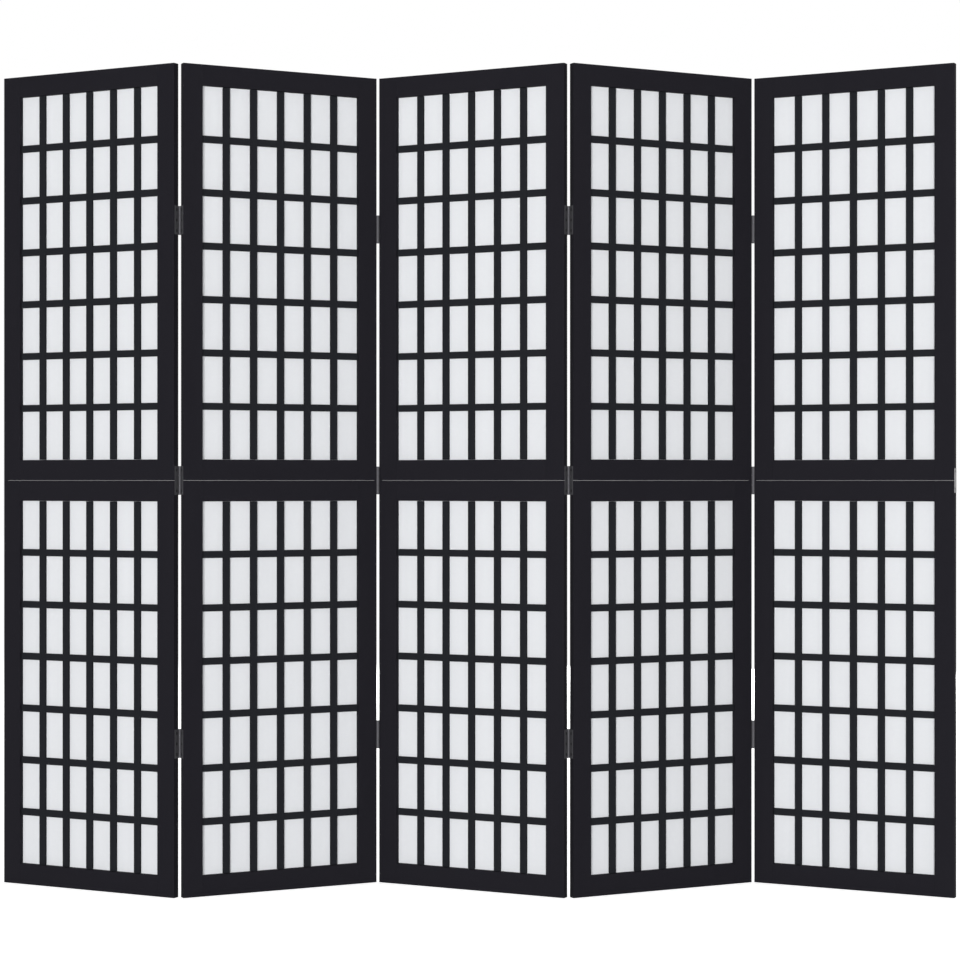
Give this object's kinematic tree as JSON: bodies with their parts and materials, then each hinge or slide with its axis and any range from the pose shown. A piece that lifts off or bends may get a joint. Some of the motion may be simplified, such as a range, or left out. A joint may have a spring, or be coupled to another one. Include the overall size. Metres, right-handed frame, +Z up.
{
  "type": "shoji folding screen",
  "caption": "Free-standing folding room divider with black wooden lattice panels backed by white fabric, hinged edge to edge in a zigzag.",
  "frame": {"origin": "on the floor, under the middle of the third panel", "axes": "+X along the screen to the viewer's right, +Y away from the front of the screen, +Z up"},
  "size_m": [1.9206, 0.2018, 1.65],
  "materials": {
    "black_frame": "smooth black paint with a soft sheen",
    "black_lattice": "smooth black paint with a soft sheen",
    "white_fabric": "thin white non-woven fabric, matte and translucent",
    "black_hinge": "thin black finish on steel with a soft metallic sheen, held by dull black screws",
    "steel_plate": "dull zinc-plated steel"
  },
  "bodies": {
    "panel_1": {"panel_1_lower_frame": "black_frame", "panel_1_lower_lattice": "black_lattice", "panel_1_lower_fabric": "white_fabric", "panel_1_lower_beading": "black_frame", "panel_1_upper_frame": "black_frame", "panel_1_upper_lattice": "black_lattice", "panel_1_upper_fabric": "white_fabric", "panel_1_upper_beading": "black_frame", "fold_1_2_left_leaves": "black_hinge", "fold_1_2_left_pins": "black_hinge", "panel_1_end_plate": "steel_plate"},
    "panel_2": {"panel_2_lower_frame": "black_frame", "panel_2_lower_lattice": "black_lattice", "panel_2_lower_fabric": "white_fabric", "panel_2_lower_beading": "black_frame", "panel_2_upper_frame": "black_frame", "panel_2_upper_lattice": "black_lattice", "panel_2_upper_fabric": "white_fabric", "panel_2_upper_beading": "black_frame", "fold_1_2_right_leaves": "black_hinge", "fold_2_3_left_leaves": "black_hinge", "fold_2_3_left_pins": "black_hinge"},
    "panel_3": {"panel_3_lower_frame": "black_frame", "panel_3_lower_lattice": "black_lattice", "panel_3_lower_fabric": "white_fabric", "panel_3_lower_beading": "black_frame", "panel_3_upper_frame": "black_frame", "panel_3_upper_lattice": "black_lattice", "panel_3_upper_fabric": "white_fabric", "panel_3_upper_beading": "black_frame", "fold_2_3_right_leaves": "black_hinge", "fold_3_4_left_leaves": "black_hinge", "fold_3_4_left_pins": "black_hinge"},
    "panel_4": {"panel_4_lower_frame": "black_frame", "panel_4_lower_lattice": "black_lattice", "panel_4_lower_fabric": "white_fabric", "panel_4_lower_beading": "black_frame", "panel_4_upper_frame": "black_frame", "panel_4_upper_lattice": "black_lattice", "panel_4_upper_fabric": "white_fabric", "panel_4_upper_beading": "black_frame", "fold_3_4_right_leaves": "black_hinge", "fold_4_5_left_leaves": "black_hinge", "fold_4_5_left_pins": "black_hinge"},
    "panel_5": {"panel_5_lower_frame": "black_frame", "panel_5_lower_lattice": "black_lattice", "panel_5_lower_fabric": "white_fabric", "panel_5_lower_beading": "black_frame", "panel_5_upper_frame": "black_frame", "panel_5_upper_lattice": "black_lattice", "panel_5_upper_fabric": "white_fabric", "panel_5_upper_beading": "black_frame", "fold_4_5_right_leaves": "black_hinge", "panel_5_end_plate": "steel_plate"}
  },
  "joints": [
    {"name": "fold_2_3", "type": "hinge", "parent": "panel_3", "child": "panel_2", "pos_m": [-0.19254, 0.0846, 0.825], "axis": [0, 0, 1], "range_deg": [-53.6, 126.4]},
    {"name": "fold_1_2", "type": "hinge", "parent": "panel_2", "child": "panel_1", "pos_m": [-0.57761, -0.0846, 0.825], "axis": [0, 0, 1], "range_deg": [-126.4, 53.6]},
    {"name": "fold_3_4", "type": "hinge", "parent": "panel_3", "child": "panel_4", "pos_m": [0.19254, -0.0846, 0.825], "axis": [0, 0, 1], "range_deg": [-53.6, 126.4]},
    {"name": "fold_4_5", "type": "hinge", "parent": "panel_4", "child": "panel_5", "pos_m": [0.57761, 0.0846, 0.825], "axis": [0, 0, 1], "range_deg": [-126.4, 53.6]}
  ],
  "couplings": [
    {"joint": "fold_3_4", "follows": "fold_2_3", "ratio": 1}
  ]
}
